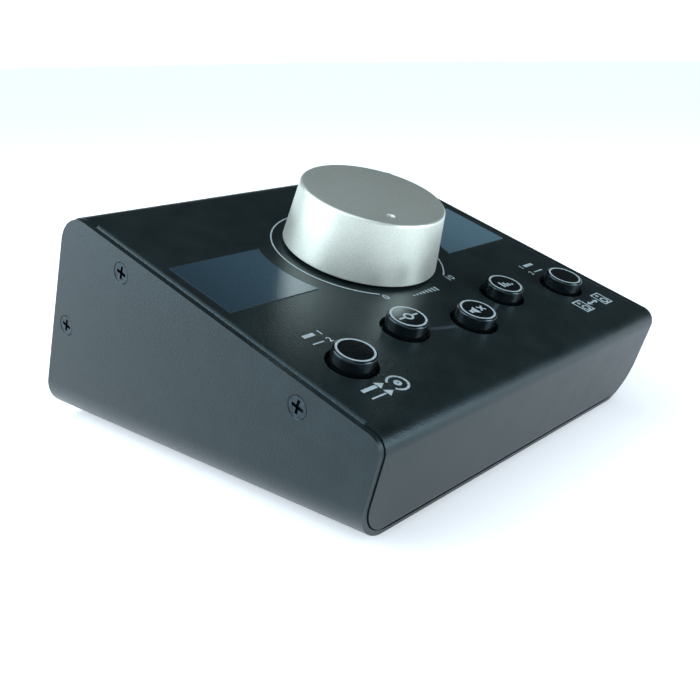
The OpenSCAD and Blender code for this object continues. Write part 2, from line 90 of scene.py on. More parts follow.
MM = 0.001
BUTTONS = ("source", "mono", "mute", "dim", "monitor")
CASE = "case"


class Select(Enum):
    """What an edit-mode pick works on."""

    CORNERS = "VERT"
    FACES = "FACE"


# ---------------------------------------------------------------- nodes


def add_node(
    tree: bpy.types.NodeTree,
    kind: str,
    settings: dict[str, Any] | None = None,
    inputs: dict[str | int, Any] | None = None,
) -> bpy.types.Node:
    """Add one shader node with its settings and its inputs.

    Args:
        tree: node tree of the material, world or light.
        kind: type name of the node, without the ShaderNode in front.
        settings: the node's own properties by name.
        inputs: a value, or an output socket to link, for each input.

    Returns:
        The new node.
    """
    made = tree.nodes.new("ShaderNode" + kind)
    for name, value in (settings or {}).items():
        setattr(made, name, value)
    for name, value in (inputs or {}).items():
        if isinstance(value, bpy.types.NodeSocket):
            tree.links.new(value, made.inputs[name])
        else:
            made.inputs[name].default_value = value
    return made


def linear(code: str) -> tuple[float, float, float, float]:
    """Turn an sRGB hex colour such as "#1a2b3c" into linear light.

    Args:
        code: the colour, with its leading hash sign.

    Returns:
        Red, green, blue and a full alpha.
    """
    shares = [int(code[i : i + 2], 16) / 255 for i in (1, 3, 5)]
    lit = [s / 12.92 if s <= 0.04045 else ((s + 0.055) / 1.055) ** 2.4 for s in shares]
    return (lit[0], lit[1], lit[2], 1.0)


# ---------------------------------------------------------------- finishes


@dataclass(frozen=True)
class Finish:
    """A surface: its colour range, its gloss range and its raised grain.

    Attributes:
        name: what the material is called.
        dark: colour of its darker patches.
        light: colour of its lighter patches.
        roughness: lowest and highest roughness.
        metallic: 1 for bare metal.
        patch_mm: width of the patches that colour and gloss vary in.
        grain_mm: width of one grain of the surface texture.
        relief_mm: height of the grain.
        shader: other sockets of the shader that are the same all over.
    """

    name: str
    dark: str
    light: str
    roughness: tuple[float, float]
    metallic: float = 0.0
    patch_mm: float = 12.0
    grain_mm: float = 0.4
    relief_mm: float = 0.01
    shader: tuple[tuple[str, Any], ...] = ()

    def material(self) -> bpy.types.Material:
        """Return the finish's material, made the first time it is asked for."""
        known = bpy.data.materials.get(self.name)
        return known if known else self._make()

    def _make(self) -> bpy.types.Material:
        """Build the node tree: patches to colour and gloss, grain to bump.

        Returns:
            The new material.
        """
        made = bpy.data.materials.new(self.name)
        made.use_nodes = True
        tree = made.node_tree
        tree.nodes.clear()
        place = add_node(tree, "TexCoord").outputs["Object"]
        patches = self.patches(tree, place)
        gloss = add_node(
            tree,
            "MapRange",
            inputs={
                "Value": patches,
                "From Min": 0.3,
                "From Max": 0.7,
                "To Min": self.roughness[0],
                "To Max": self.roughness[1],
            },
        )
        bump = add_node(
            tree,
            "Bump",
            inputs={
                "Height": self.grain(tree, place),
                "Distance": self.relief_mm * MM,
            },
        )
        surface = add_node(
            tree,
            "BsdfPrincipled",
            inputs={
                "Base Color": self.colour(tree, place, patches),
                "Roughness": gloss.outputs["Result"],
                "Metallic": self.metallic,
                "Normal": bump.outputs["Normal"],
                **dict(self.shader),
            },
        )
        add_node(
            tree, "OutputMaterial", inputs={"Surface": surface.outputs["BSDF"]}
        )
        return made

    def noise(
        self, tree: bpy.types.NodeTree, place: Any, width_mm: float, detail: float = 2
    ) -> bpy.types.NodeSocket:
        """Add soft noise whose lumps are about width_mm across.

        Args:
            tree: the material's tree.
            place: the coordinates to read.
            width_mm: size of one lump.
            detail: how many finer layers are laid over it.

        Returns:
            The noise, from 0 to 1.
        """
        return add_node(
            tree,
            "TexNoise",
            inputs={"Vector": place, "Scale": 1 / (width_mm * MM), "Detail": detail},
        ).outputs["Fac"]

    def patches(self, tree: bpy.types.NodeTree, place: Any) -> bpy.types.NodeSocket:
        """Return the slow variation of colour and gloss over the surface."""
        return self.noise(tree, place, self.patch_mm, 3)

    def grain(self, tree: bpy.types.NodeTree, place: Any) -> bpy.types.NodeSocket:
        """Return the height of the fine surface texture."""
        return self.noise(tree, place, self.grain_mm)

    def colour(
        self, tree: bpy.types.NodeTree, place: Any, patches: Any
    ) -> bpy.types.NodeSocket:
        """Return the colour, from the dark shade to the light one.

        Args:
            tree: the material's tree.
            place: the coordinates to read.
            patches: the slow variation.

        Returns:
            The colour socket.
        """
        return self.shades(tree, patches, (0.3, self.dark), (0.7, self.light))

    def shades(
        self, tree: bpy.types.NodeTree, along: Any, *stops: tuple[float, str]
    ) -> bpy.types.NodeSocket:
        """Add a ramp of colours.

        Args:
            tree: the material's tree.
            along: the value that runs over the ramp.
            stops: place on the ramp and hex colour, lowest first.

        Returns:
            The colour socket.
        """
        made = add_node(tree, "ValToRGB", inputs={"Fac": along})
        ramp = made.color_ramp
        while len(ramp.elements) < len(stops):
            ramp.elements.new(0.5)
        for stop, (at, code) in zip(ramp.elements, stops):
            stop.position = at
            stop.color = linear(code)
        return made.outputs["Color"]


@dataclass(frozen=True)
class PowderCoat(Finish):
    """Sprayed and baked powder: small round bumps that break the light up."""

    def grain(self, tree: bpy.types.NodeTree, place: Any) -> bpy.types.NodeSocket:
        """Return rounded bumps, with finer noise between them."""
        bumps = add_node(
            tree,
            "TexVoronoi",
            {"feature": "SMOOTH_F1"},
            {"Vector": place, "Scale": 1 / (self.grain_mm * MM), "Smoothness": 0.6},
        )
        fine = self.noise(tree, place, self.grain_mm * 0.8)
        return add_node(
            tree,
            "Math",
            {"operation": "MULTIPLY_ADD"},
            {0: fine, 1: 0.9, 2: bumps.outputs["Distance"]},
        ).outputs["Value"]


@dataclass(frozen=True)
class BlastedMetal(Finish):
    """Bead-blasted metal: a fine sparkle, each pit a little lighter or darker."""

    def colour(
        self, tree: bpy.types.NodeTree, place: Any, patches: Any
    ) -> bpy.types.NodeSocket:
        """Return the metal's colour, speckled at the size of its pits."""
        speckle = self.noise(tree, place, self.grain_mm, 1)
        return self.shades(tree, speckle, (0.32, self.dark), (0.68, self.light))


@dataclass(frozen=True)
class GlossFilmPaintedReflection(Finish):
    """A glossy window film whose colour carries a painted reflection, lighter towards the
    right.
    """

    # span across the panel over which the painted reflection goes from the dark colour to
    # the light one
    painted_reflection_reach_mm: tuple[float, float] = (-72.0, 72.0)

    def colour(
        self, tree: bpy.types.NodeTree, place: Any, patches: Any
    ) -> bpy.types.NodeSocket:
        """Return the film's colour by its place across the panel: a painted reflection,
        darker at the left and lighter at the right.
        """
        across = add_node(tree, "SeparateXYZ", inputs={"Vector": place}).outputs["X"]
        # painted reflection: the film's colour is made lighter from left to right across
        # the panel
        shade = add_node(
            tree,
            "MapRange",
            inputs={
                "Value": across,
                "From Min": self.painted_reflection_reach_mm[0] * MM,
                "From Max": self.painted_reflection_reach_mm[1] * MM,
            },
        ).outputs["Result"]
        return self.shades(tree, shade, (0.0, self.dark), (1.0, self.light))


@dataclass(frozen=True)
class RibbonVinyl(Finish):
    """Flat cable: a groove between every two wires, 1.27 mm apart."""

    pitch_mm: float = 1.27

    def grain(self, tree: bpy.types.NodeTree, place: Any) -> bpy.types.NodeSocket:
        """Return the row of rounded wires."""
        # a band repeats every 20 / scale metres over pi
        return add_node(
            tree,
            "TexWave",
            {"wave_type": "BANDS", "bands_direction": "X"},
            {"Vector": place, "Scale": math.pi / (10 * self.pitch_mm * MM)},
        ).outputs["Fac"]


@dataclass(frozen=True)
class BoardLacquer(Finish):
    """Green lacquer over copper: tracks show as lighter, raised lines."""

    track_mm: float = 2.5

    def tracks(self, tree: bpy.types.NodeTree, place: Any) -> bpy.types.NodeSocket:
        """Return 1 between the tracks and 0 on them."""
        return add_node(
            tree,
            "TexBrick",
            inputs={
                "Vector": place,
                "Scale": 1 / (self.track_mm * 4 * MM),
                "Color1": (1, 1, 1, 1),
                "Color2": (0.8, 0.8, 0.8, 1),
                "Mortar": (0, 0, 0, 1),
                "Mortar Size": 0.03,
            },
        ).outputs["Color"]

    def colour(
        self, tree: bpy.types.NodeTree, place: Any, patches: Any
    ) -> bpy.types.NodeSocket:
        """Return the lacquer, lighter over the tracks."""
        bare = self.tracks(tree, place)
        return self.shades(tree, bare, (0.0, self.light), (0.5, self.dark))


# The case is powder-coated steel. Such a coat usually has a grain of about
# 0.35 mm, drawn at 0.45 mm so that it still shows on the whole case.
CASE_PAINT = PowderCoat(
    "powder_coat_black", "#131a1b", "#1a2223", (0.31, 0.37),
    grain_mm=0.45, relief_mm=0.05, patch_mm=9.0,
    shader=(("Specular IOR Level", 0.35), ("Specular Tint", linear("#cdeefa"))),
)
# A polyester film with a hard gloss: long clean reflections. Its dark and light colours
# are the two ends of a painted reflection across the panel, darker at the left.
INLAY_FILM = GlossFilmPaintedReflection(
    "tinted_film_painted_reflection", "#1f303a", "#4f6873", (0.16, 0.24),
    grain_mm=3.0, relief_mm=0.004, patch_mm=25.0,
    shader=(("Coat Weight", 0.3), ("Coat Roughness", 0.08)),
)
# Satin-anodised aluminium, bead-blasted first. Such pits are usually 0.1 mm,
# drawn at 0.3 mm, and they spread each highlight into a wide even band.
KNOB_ALUMINIUM = BlastedMetal(
    "anodised_aluminium", "#ccd2c9", "#e2e6dc", (0.38, 0.43), 0.8,
    grain_mm=0.3, relief_mm=0.005, patch_mm=20.0,
)
# Gloss ABS straight from a polished mould: dark, with sharp reflections.
BUTTON_ABS = Finish(
    "gloss_abs_black", "#06090a", "#0a0e0f", (0.16, 0.22),
    grain_mm=2.2, relief_mm=0.003, patch_mm=5.0,
    shader=(("Specular Tint", linear("#cdeefa")),),
)
# Epoxy screen ink: even and matt, with a slightly starved, mottled edge.
SCREEN_INK = Finish(
    "screen_ink_white", "#88959a", "#a5b1b5", (0.50, 0.62),
    grain_mm=0.25, relief_mm=0.006, patch_mm=0.7,
)
# The same ink thinned to a tint, for a guide line that stays in the back.
SHADOW_INK = Finish(
    "screen_ink_shadow", "#263036", "#2d383e", (0.38, 0.48),
    grain_mm=0.3, relief_mm=0.006, patch_mm=1.2,
)
# Black zinc plate: near-black metal, with a faint brown-grey mottle.
SCREW_BLACK = Finish(
    "black_zinc_plate", "#2c363b", "#414b51", (0.20, 0.30), 1.0,
    grain_mm=0.35, relief_mm=0.006, patch_mm=1.4,
)
BRIGHT_ZINC = Finish(
    "bright_zinc_plate", "#b4b9bb", "#cfd2d0", (0.22, 0.38), 1.0,
    grain_mm=0.5, relief_mm=0.006, patch_mm=3.0,
)
NICKEL = Finish(
    "nickel_plate", "#b5b0a6", "#ccc7bc", (0.14, 0.26), 1.0,
    grain_mm=0.5, relief_mm=0.004, patch_mm=2.0,
)
BRASS = Finish(
    "turned_brass", "#b1904c", "#cdae68", (0.22, 0.34), 1.0,
    grain_mm=0.4, relief_mm=0.005, patch_mm=2.0,
)
TIN = Finish(
    "tin_plate", "#b5b8b9", "#c9cccd", (0.30, 0.44), 1.0,
    grain_mm=0.3, relief_mm=0.004, patch_mm=1.5,
)
SPRING_STEEL = Finish(
    "spring_steel", "#6d7174", "#8b9093", (0.24, 0.36), 1.0,
    grain_mm=0.3, relief_mm=0.004, patch_mm=2.0,
)
DRAWN_STEEL = Finish(
    "drawn_steel", "#8d9193", "#a8acad", (0.28, 0.42), 1.0,
    grain_mm=0.4, relief_mm=0.005, patch_mm=3.0,
)
# Neoprene: dull black, dusted a little lighter where it has been handled.
FOOT_RUBBER = Finish(
    "neoprene_rubber", "#121314", "#202223", (0.72, 0.88),
    grain_mm=0.35, relief_mm=0.02, patch_mm=2.5,
)
HOUSING_ABS = Finish(
    "moulded_abs", "#1b1d1f", "#24272a", (0.42, 0.56),
    grain_mm=0.3, relief_mm=0.01, patch_mm=4.0,
)
JACK_NYLON = Finish(
    "moulded_nylon", "#101213", "#1a1c1e", (0.34, 0.50),
    grain_mm=0.35, relief_mm=0.008, patch_mm=3.0,
)
PALE_ACETAL = Finish(
    "white_acetal", "#d3d2cc", "#e4e3dd", (0.34, 0.46),
    grain_mm=0.4, relief_mm=0.005, patch_mm=2.0,
    shader=(("Subsurface Weight", 0.1), ("Subsurface Scale", 0.001)),
)
HEADER_NYLON = Finish(
    "natural_nylon", "#cfc9b4", "#ddd8c6", (0.38, 0.50),
    grain_mm=0.4, relief_mm=0.006, patch_mm=2.0,
)
# Paper-based phenolic board: brown, with the paper's fibres showing through.
PHENOLIC = Finish(
    "paper_phenolic", "#6b4526", "#8a5f38", (0.44, 0.58),
    grain_mm=0.5, relief_mm=0.008, patch_mm=0.9,
)
BOARD_GREEN = BoardLacquer(
    "solder_mask_green", "#0c3a22", "#1c5a38", (0.18, 0.30),
    grain_mm=0.6, relief_mm=0.01, patch_mm=4.0,
)
RESISTOR_LACQUER = Finish(
    "resistor_lacquer", "#5d86a0", "#7fa5ba", (0.30, 0.42),
    grain_mm=0.5, relief_mm=0.01, patch_mm=1.0,
)
RIBBON_VINYL = RibbonVinyl(
    "ribbon_vinyl_grey", "#84888a", "#979b9d", (0.42, 0.54),
    relief_mm=0.15, patch_mm=6.0,
)

FINISH_OF_SLOT: dict[str, Finish] = {
    "case_paint": CASE_PAINT,
    "inlay_film": INLAY_FILM,
    "screw_black": SCREW_BLACK,
    "zinc": BRIGHT_ZINC,
    "foot_rubber": FOOT_RUBBER,
    "knob_aluminium": KNOB_ALUMINIUM,
    "inner_plastic": HOUSING_ABS,
    "spring_steel": SPRING_STEEL,
    "pot_metal": DRAWN_STEEL,
    "phenolic": PHENOLIC,
    "brass": BRASS,
    "nickel": NICKEL,
    "tin": TIN,
    "switch_plastic": HOUSING_ABS,
    "board_green": BOARD_GREEN,
    "resistor_body": RESISTOR_LACQUER,
    "jack_plastic": JACK_NYLON,
    "header_plastic": HEADER_NYLON,
    "ribbon_grey": RIBBON_VINYL,
    "button_black": BUTTON_ABS,
    "plunger_white": PALE_ACETAL,
}


# ---------------------------------------------------------------- bench tools


def take(piece: bpy.types.Object) -> None:
    """Select one piece only, and make it the active one."""
    for other in bpy.context.view_layer.objects:
        other.select_set(False)
    piece.select_set(True)
    bpy.context.view_layer.objects.active = piece


@contextmanager
def editing(piece: bpy.types.Object) -> Iterator[None]:
    """Open a piece in edit mode with all of it selected, then close it."""
    take(piece)
    bpy.ops.object.mode_set(mode="EDIT")
    bpy.ops.mesh.select_all(action="SELECT")
    yield
    bpy.ops.object.mode_set(mode="OBJECT")


def pick(
    piece: bpy.types.Object, kind: Select, test: Callable[[Vector], bool]
) -> None:
    """Select the corners or faces whose place passes a test, in edit mode.

    Args:
        piece: the piece that is open in edit mode.
        kind: corners or faces.
        test: says whether a place is picked.
    """
    bpy.ops.mesh.select_mode(type=kind.value)
    mesh = bmesh.from_edit_mesh(piece.data)
    for face in mesh.faces:
        face.select_set(False)
    for corner in mesh.verts:
        corner.select_set(False)
    if kind is Select.FACES:
        for face in mesh.faces:
            face.select_set(test(face.calc_center_median()))
    else:
        for corner in mesh.verts:
            corner.select_set(test(corner.co))
        mesh.select_flush(True)
    bmesh.update_edit_mesh(piece.data)


def settle(
    piece: bpy.types.Object, place: tuple[float, float] = (0, 0), turn_deg: float = 0
) -> bpy.types.Object:
    """Turn a flat piece, put it at its place in mm, and fix that in its mesh.

    Args:
        piece: the piece to place.
        place: where its middle goes, in mm.
        turn_deg: its turn, anticlockwise.

    Returns:
        The piece.
    """
    take(piece)
    piece.location = (place[0] * MM, place[1] * MM, 0)
    piece.rotation_euler = (0, 0, math.radians(turn_deg))
    bpy.ops.object.transform_apply(location=True, rotation=True, scale=True)
    return piece


def join(name: str, parts: Sequence[bpy.types.Object]) -> bpy.types.Object:
    """Join several pieces into one with a name.

    Args:
        name: what the joined piece is called.
        parts: the pieces, at least one.

    Returns:
        The joined piece.
    """
    take(parts[0])
    for part in parts:
        part.select_set(True)
    bpy.ops.object.join()
    parts[0].name = name
    parts[0].data.name = name
    return parts[0]


@dataclass(frozen=True)
class Printer:
    """Screen printing: flat strokes of ink, drawn in mm on a flat sheet.

    Attributes:
        thick_mm: how far the ink stands up.
        steps: straight sides in a full circle.
    """

    thick_mm: float = 0.05
    steps: int = 150

    def _raise(self, piece: bpy.types.Object) -> bpy.types.Object:
        """Give a flat outline its thickness, and turn its faces outwards."""
        with editing(piece):
            bpy.ops.mesh.remove_doubles(threshold=1e-7)
            bpy.ops.mesh.extrude_region_move(
                TRANSFORM_OT_translate={"value": (0, 0, self.thick_mm * MM)}
            )
            bpy.ops.mesh.select_all(action="SELECT")
            bpy.ops.mesh.normals_make_consistent(inside=False)
        return piece

    def ring(
        self,
        radius_mm: float,
        width_mm: float,
        place: tuple[float, float] = (0, 0),
        start_deg: float = 0,
        sweep_deg: float = 360,
    ) -> bpy.types.Object:
        """Print a ring, or the part of one that sweeps on from a start angle.

        Args:
            radius_mm: radius at the middle of the line.
            width_mm: width of the line.
            place: middle of the ring.
            start_deg: where the line starts, anticlockwise from the right.
            sweep_deg: how far it goes.

        Returns:
            The printed ring.
        """
        outer = radius_mm + width_mm / 2
        bpy.ops.mesh.primitive_circle_add(vertices=self.steps, radius=outer * MM)
        piece = bpy.context.active_object
        share = (radius_mm - width_mm / 2) / outer
        with editing(piece):
            bpy.ops.mesh.extrude_edges_move()
            bpy.ops.transform.resize(
                value=(share, share, 1), center_override=(0, 0, 0)
            )
            if sweep_deg < 360:
                pick(
                    piece,
                    Select.FACES,
                    lambda at: (
                        math.degrees(math.atan2(at.y, at.x)) - start_deg
                    ) % 360 > sweep_deg,
                )
                bpy.ops.mesh.delete(type="FACE")
        return settle(self._raise(piece), place)

    def bar(
        self,
        long_mm: float,
        wide_mm: float,
        place: tuple[float, float] = (0, 0),
        turn_deg: float = 0,
        taper: float = 1.0,
        round_mm: float = 0.0,
    ) -> bpy.types.Object:
        """Print a straight bar.

        Args:
            long_mm: its length.
            wide_mm: its width.
            place: its middle.
            turn_deg: its turn, anticlockwise.
            taper: width of its left end as a share of the right end.
            round_mm: radius of its corners.

        Returns:
            The printed bar.
        """
        bpy.ops.mesh.primitive_plane_add(size=MM)
        piece = bpy.context.active_object
        with editing(piece):
            bpy.ops.transform.resize(value=(long_mm, wide_mm, 1))
            if round_mm:
                bpy.ops.mesh.bevel(
                    offset=round_mm * MM, segments=5, affect="VERTICES"
                )
            if taper != 1:
                pick(piece, Select.CORNERS, lambda at: at.x < 0)
                bpy.ops.transform.resize(
                    value=(1, taper, 1), center_override=(0, 0, 0)
                )
        return settle(self._raise(piece), place, turn_deg)

    def arrowhead(
        self, size_mm: float, place: tuple[float, float], turn_deg: float = 0
    ) -> bpy.types.Object:
        """Print a filled triangle that points to the right before its turn.

        Args:
            size_mm: radius of the circle through its corners.
            place: its middle.
            turn_deg: its turn, anticlockwise.

        Returns:
            The printed triangle.
        """
        bpy.ops.mesh.primitive_circle_add(
            vertices=3, radius=size_mm * MM, fill_type="NGON"
        )
        piece = bpy.context.active_object
        with editing(piece):
            bpy.ops.mesh.bevel(
                offset=size_mm * 0.1 * MM, segments=3, affect="VERTICES"
            )
        return settle(self._raise(piece), place, turn_deg - 90)

    def number(
        self, text: str, high_mm: float, place: tuple[float, float]
    ) -> bpy.types.Object:
        """Print a dial number.

        Args:
            text: its figures.
            high_mm: height of a figure.
            place: its middle.

        Returns:
            The printed number.
        """
        bpy.ops.object.text_add()
        piece = bpy.context.active_object
        piece.data.body = text
        piece.data.align_x, piece.data.align_y = "CENTER", "CENTER"
        piece.data.offset = 0.015
        take(piece)
        bpy.ops.object.convert(target="MESH")
        piece = bpy.context.active_object
        corners = [corner.co for corner in piece.data.vertices]
        low = Vector(min(c[i] for c in corners) for i in range(3))
        high = Vector(max(c[i] for c in corners) for i in range(3))
        scale = high_mm * MM / (high.y - low.y)
        piece.data.transform(
            Matrix.Scale(scale, 4) @ Matrix.Translation(-(low + high) / 2)
        )
        return settle(self._raise(piece), place)


PRINTER = Printer()


# ---------------------------------------------------------------- frames


@dataclass(frozen=True)
class Face:
    """A flat face of the case, with its own across, up and out directions.

    Attributes:
        origin: the point of the face that its places are measured from.
        across: direction to the right, seen from outside.
        out: direction away from the case.
    """

    origin: Vector
    across: Vector
    out: Vector

    @property
    def up(self) -> Vector:
        """Return the direction up the face."""
        return self.out.cross(self.across)

    def reach(self, node: str) -> tuple[Vector, Vector]:
        """Find how far a CAD node reaches along the face's own directions.

        Args:
            node: the node's name.

        Returns:
            Its lowest and highest across, up and out, in metres.
        """
        turn = Matrix((self.across, self.up, self.out))
        spots = [
            turn @ (corner.co - self.origin)
            for corner in frame["nodes"][node].data.vertices
        ]
        return (
            Vector(min(s[i] for s in spots) for i in range(3)),
            Vector(max(s[i] for s in spots) for i in range(3)),
        )

    def lay(self, piece: bpy.types.Object, at: Vector) -> bpy.types.Object:
        """Lay a flat piece on the face and fix its place in its mesh.

        Args:
            piece: the piece, drawn flat about the origin.
            at: where its origin goes, across, up and out in metres.

        Returns:
            The piece.
        """
        turn = Matrix((self.across, self.up, self.out)).transposed()
        take(piece)
        piece.matrix_world = (
            Matrix.Translation(self.origin + turn @ at) @ turn.to_4x4()
        )
        bpy.ops.object.transform_apply(location=True, rotation=True, scale=True)
        return piece


def finish_print(piece: bpy.types.Object, body: str, ink: Finish) -> None:
    """Ink a printed piece, let it ride on its body and report it.

    Args:
        piece: the printed piece, at its place.
        body: the CAD body it is printed on.
        ink: its finish.
    """
    piece.data.materials.clear()
    piece.data.materials.append(ink.material())
    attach(piece, body)
    log.info("%s on %s, %d faces", piece.name, body, len(piece.data.polygons))


# ---------------------------------------------------------------- case


@dataclass
class Hardware:
    """The CAD nodes, each with the finish of its material slot.

    Attributes:
        soft_edges_mm: broken edge of each node that shows sharp corners.
        edge_deg: a corner sharper than this is broken.
        flat_deg: triangles closer to level than this are one flat.
        edge_steps: sides in one broken edge.
    """

    soft_edges_mm: dict[str, float] = field(
        default_factory=lambda: {
            "bottom_tray": 0.45,
            "top_cover": 0.16,
            "knob_cap": 0.1,
            "side_screws": 0.16,
            "rubber_feet": 0.3,
            "jack_nuts": 0.12,
            "jack_washers": 0.06,
            **{f"{name}_cap": 0.12 for name in BUTTONS},
        }
    )
    edge_deg: float = 34.0
    flat_deg: float = 0.3
    edge_steps: int = 3

    def dress(self) -> None:
        """Give every node its finish, and break the edges that show."""
        for name, node in frame["nodes"].items():
            slot = self.slot_of(node)
            finish = FINISH_OF_SLOT[slot]
            for place in node.material_slots:
                place.material = finish.material()
            log.info("%s dressed in %s", name, finish.name)
            if name in self.soft_edges_mm:
                self.break_edges(node, self.soft_edges_mm[name])

    @staticmethod
    def slot_of(node: bpy.types.Object) -> str:
        """Return the material slot that the node was packed with."""
        return node.material_slots[0].material.name.split(".")[0]

    def break_edges(
        self, node: bpy.types.Object, width_mm: float
    ) -> None:
        """Make the node's shown piece: its shape with rounded corners.

        Args:
            node: the CAD node that the piece stands for.
            width_mm: width of the rounded corner.
        """
        piece = node.copy()
        piece.data = node.data.copy()
        piece.name = piece.data.name = f"{node.name}_finished"
        piece.parent = None
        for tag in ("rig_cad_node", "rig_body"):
            del piece[tag]
        bpy.context.scene.collection.objects.link(piece)
        with editing(piece):
            bpy.ops.mesh.remove_doubles(threshold=1e-6)
            bpy.ops.mesh.dissolve_limited(angle_limit=math.radians(self.flat_deg))
        take(piece)
        bpy.ops.mesh.customdata_custom_splitnormals_clear()
        bpy.ops.object.shade_smooth_by_angle(angle=math.radians(self.edge_deg))
        edge = piece.modifiers.new("edge", "BEVEL")
        edge.width = width_mm * MM
        edge.segments = self.edge_steps
        edge.limit_method = "ANGLE"
        edge.angle_limit = math.radians(self.edge_deg)
        edge.harden_normals = True
        bpy.ops.object.modifier_apply(modifier=edge.name)
        body = node["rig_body"]
        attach(piece, body)
        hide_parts(node.name)
        log.info("%s on %s, %d faces", piece.name, body, len(piece.data.polygons))


# ---------------------------------------------------------------- printing


@dataclass
class PanelPrint:
    """The printing on the sloping panel, placed from the knob's own axis.

    Attributes:
        ring_r_mm: radius of the volume ring.
        ring_behind_mm: how far its middle lies behind the knob's axis.
        ring_open_deg: half the angle that it leaves open at the front.
        line_mm: width of its line.
        band_r_mm: radius of the faint band through the three middle buttons.
    """

    face: Face
    ring_r_mm: float = 29.25
    ring_behind_mm: float = 0.45
    ring_open_deg: float = 33.6
    line_mm: float = 0.5
    band_r_mm: float = 48.8

    def build(self) -> None:
        """Print every mark of the panel."""
        marks = {
            "volume_ring_print": self.volume_ring(),
            "volume_scale_print": self.volume_scale(),
            "source_legend_print": self.legend(-1, (-57.15, -50.8)),
            "monitor_legend_print": self.legend(1, (53.7, 51.8)),
            "source_icon_print": self.source_icon(),
            "monitor_icon_print": self.monitor_icon(),
        }
        for name, parts in marks.items():
            self._place(join(name, parts), SCREEN_INK)
        self._place(join("button_band_print", self.band()), SHADOW_INK)

    def _place(self, piece: bpy.types.Object, ink: Finish) -> None:
        """Lay a mark on the panel, sunk by a hair so that no gap shows."""
        sunk = Vector((0, 0, -0.02 * MM))
        finish_print(self.face.lay(piece, sunk), CASE, ink)

    def volume_ring(self) -> list[bpy.types.Object]:
        """Return the ring about the knob, open at the front."""
        start = -90 + self.ring_open_deg
        sweep = 360 - 2 * self.ring_open_deg
        return [
            Printer(steps=300).ring(
                self.ring_r_mm, self.line_mm, (0, self.ring_behind_mm), start, sweep
            )
        ]

    def volume_scale(self) -> list[bpy.types.Object]:
        """Return the numbers at the ring's ends and the wedge between them."""
        return [
            PRINTER.number("0", 2.8, (-15.6, -25.98)),
            PRINTER.number("10", 2.8, (17.2, -25.98)),
            *(
                PRINTER.bar(0.75, 0.5 + 0.27 * i, (1.6 * i - 5.6, -29.2))
                for i in range(8)
            ),
        ]

    def legend(
        self, side: int, marks: tuple[float, float]
    ) -> list[bpy.types.Object]:
        """Return a thick bar numbered 1 over a thin bar numbered 2.

        Args:
            side: -1 for the left legend, 1 for the right one.
            marks: left end of the bars and middle of the numbers.

        Returns:
            The two bars and the two numbers.
        """
        long = 4.2 if side < 0 else 5.2
        middle = marks[0] + long / 2
        rows = (-32.03, -35.98) if side < 0 else (-32.03, -36.48)
        return [
            PRINTER.bar(long, 1.4, (middle, rows[0])),
            PRINTER.bar(long, 0.5, (middle, rows[1])),
            PRINTER.number("1", 2.3, (marks[1], rows[0])),
            PRINTER.number("2", 2.3, (marks[1], rows[1])),
        ]

    def source_icon(self) -> list[bpy.types.Object]:
        """Return two arrows, one bold and one thin, going into a socket."""
        x, y = -54.0, -60.08
        parts = []
        for row, wide in ((1.75, 1.25), (-1.75, 0.55)):
            parts.append(PRINTER.bar(5.4, wide, (x - 4.9, y + row)))
            parts.append(PRINTER.arrowhead(1.7, (x - 0.95, y + row)))
        parts.append(PRINTER.ring(3.0, 0.7, (x + 4.4, y), -150, 300))
        parts.append(PRINTER.ring(0.75, 0.9, (x + 4.4, y)))
        return parts

    def monitor_icon(self) -> list[bpy.types.Object]:
        """Return two loudspeakers with a double arrow between them."""
        x, y = 54.75, -60.08
        parts = []
        for side in (-1, 1):
            middle = x + side * 6.3
            parts.append(PRINTER.ring(1.25, 0.6, (middle, y - 1.15)))
            parts.append(PRINTER.ring(0.4, 0.5, (middle, y + 1.75)))
            for edge in (-1, 1):
                parts.append(
                    PRINTER.bar(0.55, 6.6, (middle + edge * 2.3, y))
                )
                parts.append(
                    PRINTER.bar(4.0, 0.55, (middle, y + edge * 3.02))
                )
            parts.append(
                PRINTER.arrowhead(
                    1.3, (x + side * 2.0, y), 0 if side > 0 else 180
                )
            )
        parts.append(PRINTER.bar(2.2, 0.7, (x, y)))
        return parts

    def band(self) -> list[bpy.types.Object]:
        """Return the faint band from button to button."""
        reach = math.degrees(math.asin(25.2 / self.band_r_mm))
        half = math.degrees(math.asin(8.0 / self.band_r_mm))
        return [
            Printer(steps=300, thick_mm=0.03).ring(
                self.band_r_mm, 1.5, (0, 0), -90 + start, reach - 2 * half
            )
            for start in (half, half - reach)
        ]


